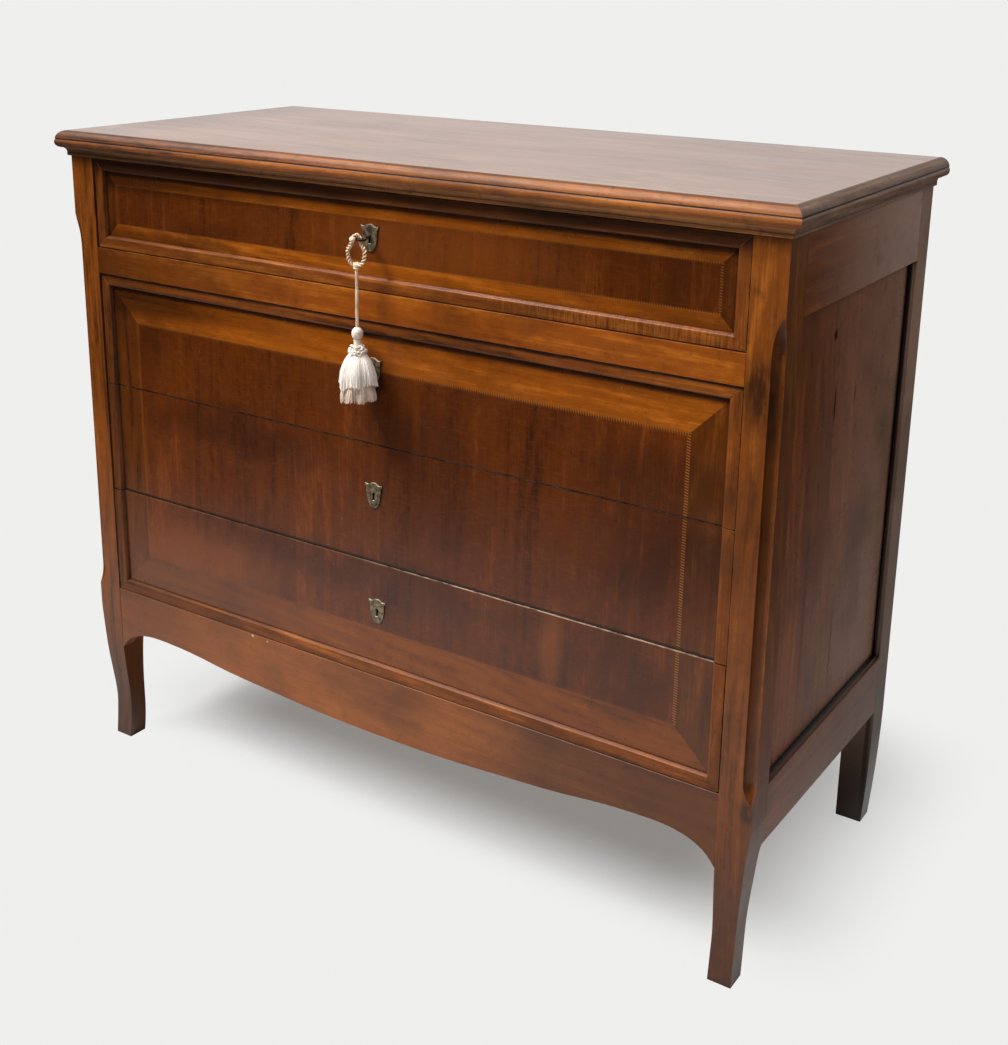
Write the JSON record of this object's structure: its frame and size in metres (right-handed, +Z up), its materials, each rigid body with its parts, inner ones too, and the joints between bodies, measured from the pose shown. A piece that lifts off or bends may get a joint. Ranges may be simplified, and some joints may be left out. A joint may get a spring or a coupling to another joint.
{
  "type": "chest of drawers",
  "caption": "Chest of drawers in figured walnut with a moulded top, hollowed corner posts, shaped apron, framed sides, shield escutcheons and a turning key with a tassel.",
  "frame": {"origin": "middle of the whole part's box on the floor, key included, tassel left out", "axes": "+X along the front to the viewer's right, +Y from the drawer fronts to the back, +Z up"},
  "size_m": [1.1762, 0.5567, 1],
  "materials": {
    "frame_walnut": "french polished walnut",
    "top_walnut": "french polished walnut veneer, glossy",
    "panel_walnut": "waxed walnut, grain upright",
    "drawer_veneer": "french polished figured walnut veneer with crossbanding and stringing",
    "border_walnut": "french polished walnut moulding",
    "lining_wood": "bare aged poplar",
    "brass": "tarnished cast brass",
    "lock_metal": "dull steel",
    "key_metal": "dark worn iron",
    "cotton": "cream cotton cord and yarn"
  },
  "bodies": {
    "case": {"back_bottom_rail": "lining_wood", "back_panel": "lining_wood", "back_top_rail": "lining_wood", "cornice_moulding": "frame_walnut", "divider_lower": "lining_wood", "divider_upper": "lining_wood", "front_apron": "frame_walnut", "front_middle_rail": "frame_walnut", "front_top_rail": "frame_walnut", "post_back_left": "frame_walnut", "post_back_right": "frame_walnut", "post_front_left": "frame_walnut", "post_front_right": "frame_walnut", "runners_left": "lining_wood", "runners_right": "lining_wood", "side_bottom_rail_left": "frame_walnut", "side_bottom_rail_right": "frame_walnut", "side_panel_left": "panel_walnut", "side_panel_right": "panel_walnut", "side_top_rail_left": "frame_walnut", "side_top_rail_right": "frame_walnut", "top_moulding": "frame_walnut", "top_panel": "top_walnut"},
    "drawer_1": {"drawer_1_back": "lining_wood", "drawer_1_border": "border_walnut", "drawer_1_bottom": "lining_wood", "drawer_1_escutcheon": "brass", "drawer_1_front": "drawer_veneer", "drawer_1_lock": "lock_metal", "drawer_1_side_left": "lining_wood", "drawer_1_side_right": "lining_wood"},
    "lock_bolt": {"drawer_1_lock_bolt": "lock_metal"},
    "drawer_2": {"drawer_2_back": "lining_wood", "drawer_2_border": "border_walnut", "drawer_2_bottom": "lining_wood", "drawer_2_escutcheon": "brass", "drawer_2_front": "drawer_veneer", "drawer_2_lock": "lock_metal", "drawer_2_side_left": "lining_wood", "drawer_2_side_right": "lining_wood"},
    "drawer_3": {"drawer_3_back": "lining_wood", "drawer_3_border": "border_walnut", "drawer_3_bottom": "lining_wood", "drawer_3_escutcheon": "brass", "drawer_3_front": "drawer_veneer", "drawer_3_lock": "lock_metal", "drawer_3_side_left": "lining_wood", "drawer_3_side_right": "lining_wood"},
    "drawer_4": {"drawer_4_back": "lining_wood", "drawer_4_border": "border_walnut", "drawer_4_bottom": "lining_wood", "drawer_4_escutcheon": "brass", "drawer_4_front": "drawer_veneer", "drawer_4_lock": "lock_metal", "drawer_4_side_left": "lining_wood", "drawer_4_side_right": "lining_wood"},
    "key": {"key": "key_metal"},
    "tassel": {"tassel_cord": "cotton", "tassel_head": "cotton", "tassel_skirt": "cotton"}
  },
  "joints": [
    {"name": "drawer_1_slide", "type": "slide", "parent": "case", "child": "drawer_1", "axis": [0, -1, 0], "range_m": [0, 0.36]},
    {"name": "drawer_2_slide", "type": "slide", "parent": "case", "child": "drawer_2", "axis": [0, -1, 0], "range_m": [0, 0.36], "deforming": ["tassel_cord", "tassel_head", "tassel_skirt"]},
    {"name": "drawer_3_slide", "type": "slide", "parent": "case", "child": "drawer_3", "axis": [0, -1, 0], "range_m": [0, 0.36]},
    {"name": "drawer_4_slide", "type": "slide", "parent": "case", "child": "drawer_4", "axis": [0, -1, 0], "range_m": [0, 0.36]},
    {"name": "key_turn", "type": "hinge", "parent": "drawer_1", "child": "key", "pos_m": [-0.0105, -0.2347, 0.8995], "axis": [0, 1, 0], "range_deg": [0, 180], "deforming": ["tassel_cord"]},
    {"name": "lock_bolt_slide", "type": "slide", "parent": "drawer_1", "child": "lock_bolt", "axis": [0, 0, 1], "range_m": [0, 0.009]},
    {"name": "tassel_swing", "type": "hinge", "parent": "drawer_1", "child": "tassel", "pos_m": [-0.0105, -0.2644, 0.8995], "axis": [-1, 0, 0], "range_deg": [0, 75]}
  ],
  "couplings": [
    {"joint": "key_turn", "follows": "lock_bolt_slide", "rad_per_m": 349}
  ]
}
